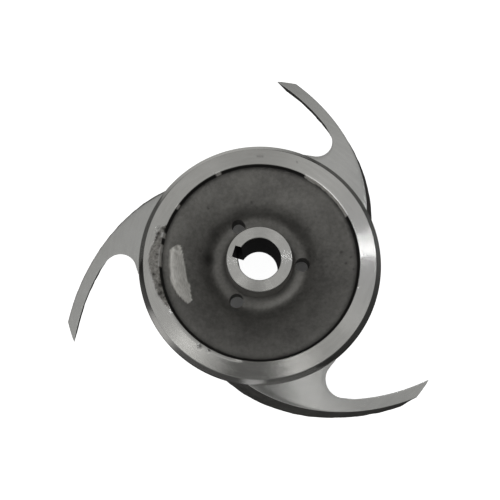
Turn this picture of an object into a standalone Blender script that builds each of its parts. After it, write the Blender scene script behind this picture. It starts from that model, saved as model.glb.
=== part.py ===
"""Semi-open pulp pump impeller, 400 mm across, one stainless steel casting.

It lies on its hub nose with the drive side up, as it would on a bench. The
shaft axis is Z and the nose stands on Z = 0. A turned disc carries the hub,
the dished back and the machined ring. Three logarithmic-spiral vanes run from
the eye, under the disc, out past its cropped edge to the turned tips.
"""
import math

import bmesh
import bpy
from mathutils import Matrix, Vector

# Heights above the nose
HUB_TOP = 0.076
RING_TOP = 0.0769
VANE_BACK = 0.070
SHOULDER_TOP = 0.045
DISH_TOP = 0.071
RIM_FRONT = 0.058

# Radii of the turned disc, from the shaft outwards
BORE_RADIUS = 0.0215
HUB_RADIUS = 0.0333
HUB_FOOT_RADIUS = 0.036
HUB_FILLET = 0.004
NOSE_RADIUS = 0.034
SHOULDER_RADIUS = 0.050
DISH_RADIUS = 0.0962
RING_INNER = 0.1004
RING_OUTER = 0.1164
RIM_RADIUS = 0.1229
RIM_FOOT = 0.0695
EDGE_BREAK = 0.0006
DISH_POWER = 1.7
FRONT_POWER = 2.6
DISC_STEPS = 72
OUTSIDE_STEPS = 360

# Keyway and balance holes
KEY_WIDTH = 0.012
KEY_REACH = 0.0268
KEY_ANGLE = math.radians(163.3)
HOLE_RADIUS = 0.0075
HOLE_CIRCLE = 0.0461
HOLE_ANGLE = math.radians(118.8)

# Vanes: r = TIP_RADIUS * exp(SPIRAL * (angle - TIP_ANGLE)) on the outer wall
VANE_COUNT = 3
TIP_RADIUS = 0.200
TIP_ANGLE = math.radians(78.35)
SPIRAL = math.tan(math.radians(27.7))
EYE_RADIUS = 0.048
OVERRUN_RADIUS = 0.209
THICK_AT_RIM = 0.0131
THICK_AT_TIP = 0.0106
NOSE_LENGTH = 0.012
FRONT_AT_TIP = 0.0516
FRONT_AT_EYE = 0.002
FRONT_CURVE = 0.53
VANE_STATIONS = 52
SINK = 0.006

# Lean of a vane's walls away from the shaft, per unit of depth: at the rim and near the tip
LEAN_BEND = 0.016
LEAN_RADII = (0.127, 0.167)
OUTER_LEAN_UPPER = (0.51, 0.385)
OUTER_LEAN_LOWER = (0.27, 0.335)
INNER_LEAN = (0.43, 0.328)

# Web between a vane and the disc, with its round gap root
ROOT_CENTRE_RADIUS = 0.1418
ROOT_CENTRE_ANGLE = math.radians(64.6)
ROOT_RADIUS = 0.0169
ROOT_START = math.radians(25.0)
ROOT_END = math.radians(-100.0)
FLARE_TO_VANE = 0.018
FLARE_TO_RIM = 0.011
WEB_THICKNESS = 0.0113
WEB_LEAN = 0.40
WEB_LEAN_ANGLE = math.radians(15.0)
WEB_INNER = 0.112
WEB_OUTER = 0.172
WEB_STEPS = 14
CUT_MARGIN = 0.01
SHARP_ANGLE = math.radians(28.0)

STEEL = (0.45, 0.44, 0.42, 1.0)
STEEL_ROUGHNESS = 0.38


def clear_scene():
    for item in list(bpy.data.objects):
        bpy.data.objects.remove(item, do_unlink=True)


def new_collection(name):
    collection = bpy.data.collections.new(name)
    bpy.context.scene.collection.children.link(collection)
    return collection


def steel_material():
    material = bpy.data.materials.new("cast_stainless_steel")
    material.use_nodes = True
    shader = material.node_tree.nodes["Principled BSDF"]
    shader.inputs["Base Color"].default_value = STEEL
    shader.inputs["Metallic"].default_value = 1.0
    shader.inputs["Roughness"].default_value = STEEL_ROUGHNESS
    return material


def add_object(name, mesh_maker, collection, is_tool=False):
    """Make an object from a bmesh that mesh_maker fills."""
    shape = bmesh.new()
    mesh_maker(shape)
    bmesh.ops.recalc_face_normals(shape, faces=shape.faces)
    mesh = bpy.data.meshes.new(name)
    shape.to_mesh(mesh)
    shape.free()
    item = bpy.data.objects.new(name, mesh)
    collection.objects.link(item)
    if is_tool:
        item.hide_render = True
        item.display_type = "WIRE"
    return item


def dish_height(radius):
    """Back of the disc: steep beside the hub, flat by the ring."""
    share = (DISH_RADIUS - radius) / (DISH_RADIUS - SHOULDER_RADIUS)
    return SHOULDER_TOP + (DISH_TOP - SHOULDER_TOP) * (1.0 - max(share, 0.0) ** DISH_POWER)


def front_height(radius):
    """Flow side of the disc, from the nose up to the rim."""
    share = (RIM_RADIUS - radius) / (RIM_RADIUS - NOSE_RADIUS)
    return RIM_FRONT * (1.0 - min(max(share, 0.0), 1.0) ** FRONT_POWER)


def vane_front_height(radius):
    """Front edges of the vanes: near the nose at the eye, flatter towards the tips."""
    share = min(max((radius - EYE_RADIUS) / (TIP_RADIUS - EYE_RADIUS), 0.0), 1.0)
    return FRONT_AT_EYE + (FRONT_AT_TIP - FRONT_AT_EYE) * share**FRONT_CURVE


def spread(start, end, count):
    return [start + (end - start) * step / (count - 1) for step in range(count)]


def disc_profile():
    """Closed section of the disc: over the back, down the rim, in along the front."""
    points = [(BORE_RADIUS, HUB_TOP), (HUB_RADIUS - EDGE_BREAK, HUB_TOP), (HUB_RADIUS, HUB_TOP - EDGE_BREAK)]
    for turn in spread(0.0, math.pi / 2, 4):
        radius = HUB_FOOT_RADIUS + HUB_FILLET * (1.0 - math.cos(turn))
        points.append((radius, SHOULDER_TOP + HUB_FILLET * (1.0 - math.sin(turn))))
    points += [(radius, dish_height(radius)) for radius in spread(SHOULDER_RADIUS, DISH_RADIUS, 8)]
    points += [
        (RING_INNER, RING_TOP),
        (RING_OUTER, RING_TOP),
        (RIM_RADIUS, RIM_FOOT),
    ]
    points += [(radius, front_height(radius)) for radius in spread(RIM_RADIUS, NOSE_RADIUS, 10)]
    points.append((BORE_RADIUS, 0.0))
    return points


def add_disc(collection):
    """Turn the section about the shaft axis with a Screw modifier."""
    profile = disc_profile()
    mesh = bpy.data.meshes.new("impeller_casting")
    edges = [(index, (index + 1) % len(profile)) for index in range(len(profile))]
    mesh.from_pydata([(radius, 0.0, height) for radius, height in profile], edges, [])
    disc = bpy.data.objects.new("impeller_casting", mesh)
    collection.objects.link(disc)
    screw = disc.modifiers.new("turned", "SCREW")
    screw.axis = "Z"
    screw.steps = DISC_STEPS
    screw.render_steps = DISC_STEPS
    screw.use_merge_vertices = True
    screw.merge_threshold = 0.00001
    screw.use_normal_calculate = False
    return disc


def spiral_radius(angle):
    return TIP_RADIUS * math.exp(SPIRAL * (angle - TIP_ANGLE))


def spiral_angle(radius):
    return TIP_ANGLE + math.log(radius / TIP_RADIUS) / SPIRAL


def spiral_point(angle):
    radius = spiral_radius(angle)
    return Vector((radius * math.cos(angle), radius * math.sin(angle)))


def spiral_normal(angle):
    """Unit normal of the spiral, away from the shaft."""
    turn = angle - math.atan(SPIRAL)
    return Vector((math.cos(turn), math.sin(turn)))


def vane_thickness(radius):
    """Thickness square to the wall; the leading edge is rounded off."""
    share = (radius - RIM_RADIUS) / (TIP_RADIUS - RIM_RADIUS)
    full = THICK_AT_RIM + (THICK_AT_TIP - THICK_AT_RIM) * min(max(share, 0.0), 1.1)
    from_eye = (radius - EYE_RADIUS) / NOSE_LENGTH
    if from_eye >= 1.0:
        return full
    return full * math.sqrt(1.0 - (1.0 - max(from_eye, 0.04)) ** 2)


def vane_top_height(radius):
    """Flat back past the rim; under the disc the vane is sunk into the wall."""
    buried = front_height(radius) + SINK
    share = min(max((radius - WEB_INNER) / (0.5 * (RIM_RADIUS + RING_OUTER) - WEB_INNER), 0.0), 1.0)
    return buried + (VANE_BACK - buried) * share


def lean_at(radius, lean):
    """Lean at a station: it changes from the rim to the tip, and fades out towards the eye."""
    share = min(max((radius - LEAN_RADII[0]) / (LEAN_RADII[1] - LEAN_RADII[0]), 0.0), 1.0)
    fade = min(max((radius - EYE_RADIUS) / (WEB_INNER - EYE_RADIUS), 0.0), 1.0)
    return (lean[0] + (lean[1] - lean[0]) * share) * fade


def outer_offset(radius, depth):
    """How far the outer wall has leaned out at a depth: steep down to the bend, less past it."""
    upper = lean_at(radius, OUTER_LEAN_UPPER) * min(depth, LEAN_BEND)
    return upper + lean_at(radius, OUTER_LEAN_LOWER) * max(depth - LEAN_BEND, 0.0)


def vane_section(radius):
    """Six corners at one station: three heights, outer and inner wall."""
    angle = spiral_angle(radius)
    wall = spiral_point(angle)
    normal = spiral_normal(angle)
    thickness = vane_thickness(radius)
    middle = wall - normal * (0.5 * vane_thickness(max(radius, EYE_RADIUS + NOSE_LENGTH)))
    top = vane_top_height(radius)
    bottom = vane_front_height(radius)
    bend = min(max(VANE_BACK - LEAN_BEND, bottom + 0.002), top - 0.002)
    outer = []
    inner = []
    for height in (top, bend, bottom):
        depth = VANE_BACK - height
        place = middle + normal * (0.5 * thickness + outer_offset(radius, depth))
        outer.append((place.x, place.y, height))
        place = middle + normal * (lean_at(radius, INNER_LEAN) * depth - 0.5 * thickness)
        inner.append((place.x, place.y, height))
    return outer + inner[::-1]


def fill_vane(shape):
    """Loft the vane through its sections, closed at both ends."""
    radii = [EYE_RADIUS * (OVERRUN_RADIUS / EYE_RADIUS) ** share for share in spread(0.0, 1.0, VANE_STATIONS)]
    loops = [[shape.verts.new(corner) for corner in vane_section(radius)] for radius in radii]
    for near, far in zip(loops, loops[1:]):
        for index in range(len(near)):
            following = (index + 1) % len(near)
            shape.faces.new((near[index], near[following], far[following], far[index]))
    shape.faces.new(loops[0])
    shape.faces.new(loops[-1][::-1])


def direction(angle):
    return Vector((math.cos(angle), math.sin(angle)))


def web_outline():
    """Web seen from above: along the vane, round the gap root, back under the disc.

    The root is an arc that runs out tangentially into the vane at one end and into
    the rim at the other.
    """
    centre = ROOT_CENTRE_RADIUS * direction(ROOT_CENTRE_ANGLE)
    points = []
    for radius in spread(RING_OUTER, WEB_OUTER, WEB_STEPS):
        angle = spiral_angle(radius)
        points.append(spiral_point(angle) - spiral_normal(angle) * (0.5 * vane_thickness(radius)))
    start = centre + ROOT_RADIUS * direction(ROOT_START)
    points.append(start + FLARE_TO_VANE * direction(ROOT_START + math.pi / 2))
    for angle in spread(ROOT_START, ROOT_END, WEB_STEPS):
        points.append(centre + ROOT_RADIUS * direction(angle))
    last = points[-1] + FLARE_TO_RIM * direction(ROOT_END - math.pi / 2)
    points.append(last)
    for angle in spread(math.atan2(last.y, last.x), spiral_angle(RING_OUTER), 5):
        points.append(WEB_INNER * direction(angle))
    return points


def add_web(name, collection):
    """Plate from a filled 2D curve, made a mesh so that it can be joined.

    Its edge leans under the vane as it goes down, like the vane's own walls.
    """
    curve = bpy.data.curves.new(name, "CURVE")
    curve.dimensions = "2D"
    curve.fill_mode = "BOTH"
    curve.extrude = 0.5 * WEB_THICKNESS
    outline = web_outline()
    spline = curve.splines.new("POLY")
    spline.points.add(len(outline) - 1)
    for point, place in zip(spline.points, outline):
        point.co = (place.x, place.y, 0.0, 1.0)
    spline.use_cyclic_u = True
    guide = bpy.data.objects.new(name + "_outline", curve)
    collection.objects.link(guide)
    bpy.context.view_layer.update()
    mesh = bpy.data.meshes.new_from_object(guide.evaluated_get(bpy.context.evaluated_depsgraph_get()))
    bpy.data.objects.remove(guide, do_unlink=True)
    lean = WEB_LEAN * WEB_THICKNESS * direction(WEB_LEAN_ANGLE)
    for vertex in mesh.vertices:
        if vertex.co.z < 0.0:
            vertex.co += lean.to_3d()
    mesh.transform(Matrix.Translation((0.0, 0.0, VANE_BACK - 0.5 * WEB_THICKNESS)))
    shape = bmesh.new()
    shape.from_mesh(mesh)
    bmesh.ops.remove_doubles(shape, verts=shape.verts, dist=0.00001)
    bmesh.ops.recalc_face_normals(shape, faces=shape.faces)
    shape.to_mesh(mesh)
    shape.free()
    web = bpy.data.objects.new(name, mesh)
    collection.objects.link(web)
    web.hide_render = True
    web.display_type = "WIRE"
    return web


def fill_outside(shape):
    """Cylinder of the turned outside diameter, past both faces."""
    bmesh.ops.create_cone(
        shape,
        cap_ends=True,
        segments=OUTSIDE_STEPS,
        radius1=TIP_RADIUS,
        radius2=TIP_RADIUS,
        depth=HUB_TOP + 2 * CUT_MARGIN,
        matrix=Matrix.Translation((0.0, 0.0, 0.5 * HUB_TOP)),
    )


def fill_keyway(shape):
    """Rectangular slot through the hub, from inside the bore outwards."""
    length = HUB_TOP + 2 * CUT_MARGIN
    reach = KEY_REACH - 0.5 * BORE_RADIUS
    size = Matrix.Diagonal((reach, KEY_WIDTH, length, 1.0))
    place = Matrix.Translation((0.5 * BORE_RADIUS + 0.5 * reach, 0.0, 0.5 * HUB_TOP))
    bmesh.ops.create_cube(shape, size=1.0, matrix=Matrix.Rotation(KEY_ANGLE, 4, "Z") @ place @ size)


def fill_balance_holes(shape):
    length = SHOULDER_TOP + 2 * CUT_MARGIN
    for index in range(VANE_COUNT):
        angle = HOLE_ANGLE + index * 2.0 * math.pi / VANE_COUNT
        place = (HOLE_CIRCLE * math.cos(angle), HOLE_CIRCLE * math.sin(angle), 0.5 * length - CUT_MARGIN)
        bmesh.ops.create_cone(
            shape,
            cap_ends=True,
            segments=24,
            radius1=HOLE_RADIUS,
            radius2=HOLE_RADIUS,
            depth=length,
            matrix=Matrix.Translation(place),
        )


def combine(target, tool, operation):
    step = target.modifiers.new(tool.name, "BOOLEAN")
    step.operation = operation
    step.solver = "EXACT"
    step.object = tool


def finish(casting):
    """Keep the joined and cut result as one mesh, round surfaces shaded smooth."""
    bpy.context.view_layer.update()
    result = casting.evaluated_get(bpy.context.evaluated_depsgraph_get())
    mesh = bpy.data.meshes.new_from_object(result)
    casting.modifiers.clear()
    casting.data = mesh
    mesh.name = "impeller_casting"
    mesh.shade_smooth()
    mesh.set_sharp_from_angle(angle=SHARP_ANGLE)


def build():
    clear_scene()
    parts = new_collection("pulp_pump_impeller")
    tools = new_collection("joined_and_cut_shapes")
    casting = add_disc(parts)
    casting.data.materials.append(steel_material())
    web = add_web("web_0", tools)
    vane = add_object("vane_0", fill_vane, tools, is_tool=True)
    for index in range(VANE_COUNT):
        turn = Matrix.Rotation(index * 2.0 * math.pi / VANE_COUNT, 4, "Z")
        for first in (web, vane):
            item = first
            if index:
                item = bpy.data.objects.new(first.name.replace("_0", "_%d" % index), first.data)
                tools.objects.link(item)
                item.hide_render = True
                item.display_type = "WIRE"
            item.matrix_world = turn
            combine(casting, item, "UNION")
    combine(casting, add_object("outside_diameter", fill_outside, tools, is_tool=True), "INTERSECT")
    combine(casting, add_object("keyway", fill_keyway, tools, is_tool=True), "DIFFERENCE")
    combine(casting, add_object("balance_holes", fill_balance_holes, tools, is_tool=True), "DIFFERENCE")
    finish(casting)


build()
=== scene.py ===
# %% [markdown]
# # A pulp pump impeller, turned and cast
#
# This lesson gives one stainless steel casting its finished look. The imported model
# is the measured frame: it fixes the size, and the pieces made here stand in for it
# with rounded edges, cast skin, worn places and real materials. Everything is in
# metres, the shaft axis is Z, and the drive side looks up.

import bmesh
import bpy
import numpy as np
from mathutils import Matrix


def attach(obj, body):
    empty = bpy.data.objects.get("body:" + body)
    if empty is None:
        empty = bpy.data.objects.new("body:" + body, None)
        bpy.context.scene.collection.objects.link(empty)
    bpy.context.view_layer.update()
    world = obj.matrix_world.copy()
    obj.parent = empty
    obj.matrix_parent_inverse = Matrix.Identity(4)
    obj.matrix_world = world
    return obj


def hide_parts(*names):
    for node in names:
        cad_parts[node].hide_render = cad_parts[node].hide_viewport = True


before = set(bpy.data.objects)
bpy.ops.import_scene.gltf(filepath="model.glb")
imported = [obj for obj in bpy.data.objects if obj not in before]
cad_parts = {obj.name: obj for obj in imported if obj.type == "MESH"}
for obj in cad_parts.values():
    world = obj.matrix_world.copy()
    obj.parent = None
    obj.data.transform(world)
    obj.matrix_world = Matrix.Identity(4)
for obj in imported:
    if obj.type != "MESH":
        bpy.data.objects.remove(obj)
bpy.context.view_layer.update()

# %% [markdown]
# ## Where the camera stands
#
# The photograph was taken from close by, a little from the front, with a short
# lens. A camera can be turned by angles, but here its three axes are known, so
# they go straight into its matrix: right, up and back are its columns.

# %% Place the camera
LENS = 32.77
CAMERA_PLACE = (-0.0030, -0.0815, 0.5239)
CAMERA_RIGHT = (0.99990, 0.00276, -0.01370)
CAMERA_UP = (0.0, 0.98026, 0.19771)
CAMERA_BACK = (0.01398, -0.19769, 0.98016)


def place_camera():
    """Matrix columns: the camera's right, up and back axes, then its place."""
    data = bpy.data.cameras.new("bench_camera")
    data.lens = LENS
    data.sensor_width = 36.0
    data.clip_start = 0.01
    camera = bpy.data.objects.new("bench_camera", data)
    bpy.context.scene.collection.objects.link(camera)
    matrix = np.eye(4)
    matrix[:3] = np.array([CAMERA_RIGHT, CAMERA_UP, CAMERA_BACK, CAMERA_PLACE]).T
    camera.matrix_world = Matrix(matrix.tolist())
    bpy.context.scene.camera = camera
    return camera


print("camera at", [round(value, 4) for value in place_camera().matrix_world.translation])

# %% [markdown]
# ## The casting's own measures
#
# A turned part is described by radii and heights. The names below are the places
# a turner would call out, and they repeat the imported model's measures, so that
# every new surface lies where the frame says.

# %% Measures of the disc and hub
HUB_TOP, RING_TOP, VANE_BACK = 0.076, 0.0769, 0.070
SHOULDER_TOP, DISH_TOP, RIM_FRONT, RIM_FOOT = 0.045, 0.071, 0.058, 0.0695
BORE_RADIUS, HUB_RADIUS, HUB_FOOT_RADIUS, HUB_FILLET = 0.0215, 0.0333, 0.036, 0.004
NOSE_RADIUS, SHOULDER_RADIUS, DISH_RADIUS = 0.034, 0.050, 0.0962
RING_INNER, RING_OUTER, RIM_RADIUS = 0.1004, 0.1164, 0.1229
KEY_HALF_WIDTH, KEY_REACH, KEY_ANGLE = 0.006, 0.0268, np.radians(163.3)
HOLE_RADIUS, HOLE_CIRCLE, HOLE_ANGLE = 0.0075, 0.0461, np.radians(118.8)
THIRD = 2.0 * np.pi / 3.0
print("disc %.1f mm across its rim, bore %.1f mm" % (2000 * RIM_RADIUS, 2000 * BORE_RADIUS))

# %% Measures of the vanes and webs
TIP_RADIUS, TIP_ANGLE, SPIRAL = 0.200, np.radians(78.35), np.tan(np.radians(27.7))
EYE_RADIUS, THICK_AT_RIM, THICK_AT_TIP, NOSE_LENGTH = 0.048, 0.0131, 0.0106, 0.012
FRONT_AT_TIP, FRONT_AT_EYE, FRONT_CURVE, SINK = 0.0516, 0.002, 0.53, 0.006
LEAN_BEND, LEAN_RADII = 0.016, (0.127, 0.167)
OUTER_LEAN_UPPER, OUTER_LEAN_LOWER, INNER_LEAN = (0.51, 0.385), (0.27, 0.335), (0.43, 0.328)
ROOT_CENTRE = 0.1418 * np.array([np.cos(np.radians(64.6)), np.sin(np.radians(64.6))])
ROOT_RADIUS, ROOT_START, ROOT_END = 0.0169, np.radians(25.0), np.radians(-100.0)
FLARE_TO_RIM, WEB_THICKNESS, WEB_LEAN, WEB_INNER = 0.011, 0.0113, 0.40, 0.112
WEB_LEAN_ANGLE, TIP_ROUNDING = np.radians(15.0), 0.0004
print("vane tips on a circle of %.0f mm" % (2000 * TIP_RADIUS))

# %% [markdown]
# ## Helpers for surfaces
#
# Every surface is worked out with whole arrays: a closed section is carried round
# or along, which gives a grid of points, and four neighbours make a face. A cast
# skin is never smooth, so the same helpers give gentle waves and small pits.

# %% Put a closed grid into a mesh
def grid_faces(rows, columns, wrap_rows):
    """Face numbers of a grid that closes round its columns, and round its rows if asked."""
    row = np.arange(rows if wrap_rows else rows - 1)[:, None]
    column = np.arange(columns)[None, :]
    below, beside = (row + 1) % rows, (column + 1) % columns
    corners = [row * columns + column, below * columns + column,
               below * columns + beside, row * columns + beside]
    return np.stack(np.broadcast_arrays(*corners), axis=-1).reshape(-1, 4)


def make_piece(name, points, faces, materials, slots=None):
    """Fill a mesh from arrays, weld coinciding points and turn it outside out."""
    mesh = bpy.data.meshes.new(name)
    mesh.from_pydata(points.reshape(-1, 3).tolist(), [], [list(face) for face in faces])
    for material in materials:
        mesh.materials.append(material)
    if slots is not None:
        mesh.polygons.foreach_set("material_index", np.asarray(slots, dtype=np.int32))
    shape = bmesh.new()
    shape.from_mesh(mesh)
    bmesh.ops.remove_doubles(shape, verts=shape.verts, dist=0.000002)
    bmesh.ops.dissolve_degenerate(shape, edges=shape.edges, dist=0.0000005)
    if shape.calc_volume(signed=True) < 0.0:
        bmesh.ops.reverse_faces(shape, faces=shape.faces)
    open_edges = sum(1 for edge in shape.edges if len(edge.link_faces) != 2)
    shape.to_mesh(mesh)
    print("%s: %d faces, %d open edges, %.0f cm3" % (
        name, len(shape.faces), open_edges, 1e6 * shape.calc_volume(signed=True)))
    shape.free()
    piece = bpy.data.objects.new(name, mesh)
    bpy.context.scene.collection.objects.link(piece)
    return piece


# %% Waves and pits of a cast skin
def skin_waves(points, length, seed, count=28):
    """Sum of flat waves in random directions; each is a cosine of the place along it."""
    chance = np.random.default_rng(seed)
    heading = chance.normal(size=(count, 3))
    heading /= np.linalg.norm(heading, axis=1, keepdims=True)
    turns = 2.0 * np.pi / (length * chance.uniform(0.7, 1.5, count))
    phase = points @ (heading * turns[:, None]).T + chance.uniform(0.0, 2.0 * np.pi, count)
    return np.cos(phase).sum(axis=-1) / np.sqrt(count)


def pits(points, places):
    """Depth of round pits: each row of places is x, y, radius, depth; a bell curve of distance."""
    places = np.asarray(places)
    away = (points[..., None, 0] - places[:, 0]) ** 2 + (points[..., None, 1] - places[:, 1]) ** 2
    return (places[:, 3] * np.exp(-away / places[:, 2] ** 2)).sum(axis=-1)


def smooth_step(low, high, value):
    """0 below low, 1 above high, and an S-shaped cubic between."""
    share = np.clip((value - low) / (high - low), 0.0, 1.0)
    return share * share * (3.0 - 2.0 * share)


# %% [markdown]
# ## Two worn places
#
# On the left the dished back was ground bright, in a long bent patch, and the
# ring beside it is rough and pitted along its inner edge. Both follow the disc,
# so their outlines are given as radii that change with the angle. The same masks
# lower the surface and steer the materials.

# %% Masks of the worn places and of the painted glints
def angle_from_left(points):
    """Angle from the -X axis, anticlockwise, in degrees."""
    return np.degrees(np.arctan2(-points[..., 1], -points[..., 0]))


def edge_ripple(points, size, seed):
    """A small wandering of an outline."""
    return size * skin_waves(points * [1.0, 1.0, 0.0], 0.009, seed)


def ground_mask(points):
    """1 inside the bent patch, between an inner and an outer radius that follow the angle."""
    turn = angle_from_left(points)
    radius = np.hypot(points[..., 0], points[..., 1]) + edge_ripple(points, 0.0003, 5)
    outer = np.interp(turn, [-10.5, -9.4, -6.2, 0, 7, 13, 16.5, 20, 24, 28.4, 31], [.0868, .0879, .0915, .0912, .0911, .0916, .0911, .0902, .0885, .0862, .0850])
    inner = np.interp(turn, [-10.5, -7.7, -4, 0, 7, 15, 19.4, 23.4, 27.2, 31, 32], [.0824, .0803, .0785, .0770, .0764, .0761, .0754, .0760, .0773, .0786, .0815])
    ends = smooth_step(-11.2, -10.2, turn) * (1.0 - smooth_step(31.2, 32.2, turn))
    return ends * smooth_step(-0.0005, 0.0005, outer - radius) * smooth_step(-0.0004, 0.0004, radius - inner)


def patch_rim(turn):
    """Radius of the pitted patch's outer rim, read off along the turn from the left side."""
    turns = [-20, -18.5, -16, -11.5, -2.3, 3, 7, 15.4, 21, 26.5, 31]
    return np.interp(turn, turns, [.0995, .1035, .1057, .1072, .1104, .1102, .1098, .1066, .1056, .1031, .0995])


def pitted_mask(points):
    """1 on the rough inner part of the ring, out to a radius that follows the angle."""
    turn = angle_from_left(points)
    radius = np.hypot(points[..., 0], points[..., 1]) + edge_ripple(points, 0.0005, 9)
    height = smooth_step(RING_TOP - 0.0030, RING_TOP - 0.0012, points[..., 2]) * (radius > 0.09)
    return height * smooth_step(-0.0004, 0.0004, patch_rim(turn) - radius) * smooth_step(-21.5, -19.5, turn) * (1.0 - smooth_step(28.0, 31.0, turn))


def patch_outline(points):
    """A dark line along the pitted patch's rim, uneven in strength."""
    turn = angle_from_left(points)
    away = np.hypot(points[..., 0], points[..., 1]) + edge_ripple(points, 0.0005, 9) - patch_rim(turn)
    uneven = 0.35 + 0.25 * np.sin(np.radians(turn) * 23.0 + 1.0) + 0.15 * np.sin(np.radians(turn) * 71.0)
    return np.clip(uneven, 0.05, 0.8) * np.exp(-((away / 0.00045) ** 2)) * smooth_step(-21.0, -19.0, turn) * (1.0 - smooth_step(28.0, 31.0, turn))


# Painted glints: stretches of the ring's inner edge painted bright where lamps would glint on its wall and chamfer; a
# few are partly real rubbed metal.
EDGE_GLINTS_AND_RUBS = [  # from and to, in degrees round the ring's inner edge, and the outer radius of each bright chip
    (113.2, 117.4, 0.1012), (145.0, 148.9, 0.1010), (164.0, 168.0, 0.1024), (171.0, 185.0, 0.1012), (26.0, 62.0, 0.1005)]
DARK_MARKS = [  # x, y, radius, how dark: corroded spots of the patch and marks on the ring
    (-0.0987, -0.0265, 0.0024, 0.80), (-0.0974, -0.0349, 0.0029, 0.85), (-0.0940, -0.0390, 0.0020, 0.60), (-0.1054, -0.0158, 0.0018, 0.75),
    (-0.1021, 0.0254, 0.0016, 0.80), (-0.1040, 0.0215, 0.0013, 0.70), (-0.1047, 0.0190, 0.0012, 0.60), (-0.1000, 0.0132, 0.0013, 0.65),
    (-0.0965, 0.0304, 0.0015, 0.80), (-0.0945, 0.0338, 0.0011, 0.70), (-0.0990, 0.0200, 0.0010, 0.50), (-0.1010, 0.0041, 0.0007, 0.60),
    (-0.1020, 0.0043, 0.0007, 0.60), (-0.1031, 0.0042, 0.0007, 0.60), (-0.1042, 0.0044, 0.0007, 0.50), (-0.1015, -0.0240, 0.0012, 0.50),
    (-0.0920, -0.0445, 0.0012, 0.50), (-0.0572, -0.0856, 0.0014, 0.75), (-0.0485, -0.0893, 0.0010, 0.60), (-0.0015, 0.1085, 0.0010, 0.45),
    (0.0010, 0.1085, 0.0010, 0.45), (0.0035, 0.1083, 0.0010, 0.45), (0.0393, 0.1021, 0.0009, 0.50), (0.0969, -0.0274, 0.0009, 0.30)]


def glint_and_rub_mask(points):
    """1 where the ring's inner edge is painted bright: glints on a few stretches of its wall and chamfer, partly real
    rubbed metal.
    """
    angle = np.degrees(np.arctan2(points[..., 1], points[..., 0])) % 360.0
    radius = np.hypot(points[..., 0], points[..., 1])
    outer_edge = smooth_step(0.0986, 0.0991, radius)
    return outer_edge * sum(smooth_step(start, start + 1.0, angle) * (1.0 - smooth_step(end - 1.0, end, angle))
                            * (1.0 - smooth_step(rim - 0.0002, rim + 0.0003, radius)) for start, end, rim in EDGE_GLINTS_AND_RUBS)


print("ground patch at (-85, -10) mm:", float(ground_mask(np.array([-0.085, -0.010, 0.069]))))

# %% [markdown]
# ## Nodes in words
#
# A material is a small graph. This helper adds one node: a keyword sets a
# property, and an input is either linked, when it is another node's output, or
# set as a value.

# %% Node helper
def add_node(tree, kind, inputs=None, output=0, **settings):
    """Add a node and return one of its outputs."""
    node = tree.nodes.new("ShaderNode" + kind)
    for name, value in settings.items():
        setattr(node, name, value)
    for key, value in (inputs or {}).items():
        if isinstance(value, bpy.types.NodeSocket):
            tree.links.new(value, node.inputs[key])
        else:
            node.inputs[key].default_value = value
    return node.outputs[output]


def calculate(tree, operation, first, second=0.0, third=0.0):
    """One Math node."""
    return add_node(tree, "Math", {0: first, 1: second, 2: third}, operation=operation)


def blend(tree, share, first, second):
    """Mix two colours by a share."""
    node = tree.nodes.new("ShaderNodeMix")
    node.data_type = "RGBA"
    for key, value in ((0, share), (6, first), (7, second)):
        if isinstance(value, bpy.types.NodeSocket):
            tree.links.new(value, node.inputs[key])
        else:
            node.inputs[key].default_value = value
    return node.outputs[2]


def stretch(tree, value, low, high, out_low, out_high):
    """Map a range to another, held at both ends."""
    return add_node(tree, "MapRange", {0: value, 1: low, 2: high, 3: out_low, 4: out_high}, clamp=True)


def new_material(name):
    """A material with its node tree and its shader."""
    material = bpy.data.materials.new(name)
    material.use_nodes = True
    return material, material.node_tree, material.node_tree.nodes["Principled BSDF"]


def feed(tree, shader, **inputs):
    """Link or set the shader's inputs; an underline in a name stands for a space."""
    for name, value in inputs.items():
        socket = shader.inputs[name.replace("_", " ")]
        if isinstance(value, bpy.types.NodeSocket):
            tree.links.new(value, socket)
        else:
            socket.default_value = value


# %% [markdown]
# ## Turned steel
#
# The hub face, the ring and the backs of the vanes were faced in one setting on
# the lathe. The tool leaves fine rings about the shaft, which scatter light
# straight across themselves: that is why a small lamp shows as a bright wedge.
# The shader does this with anisotropy along the radius, a direction worked out
# from the place itself.

# %% Turned steel
def shaft_coordinates(tree):
    """Place, radius, angle about the shaft and the outward direction, all from Object coordinates."""
    place = add_node(tree, "TexCoord", output="Object")
    flat = add_node(tree, "VectorMath", {0: place, 1: (1.0, 1.0, 0.0)}, operation="MULTIPLY")
    radius = add_node(tree, "VectorMath", {0: flat}, output="Value", operation="LENGTH")
    split = tree.nodes.new("ShaderNodeSeparateXYZ")
    tree.links.new(place, split.inputs[0])
    angle = calculate(tree, "ARCTAN2", split.outputs[1], split.outputs[0])
    outward = add_node(tree, "VectorMath", {0: flat}, operation="NORMALIZE")
    return place, radius, angle, outward, split.outputs[2]


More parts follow.
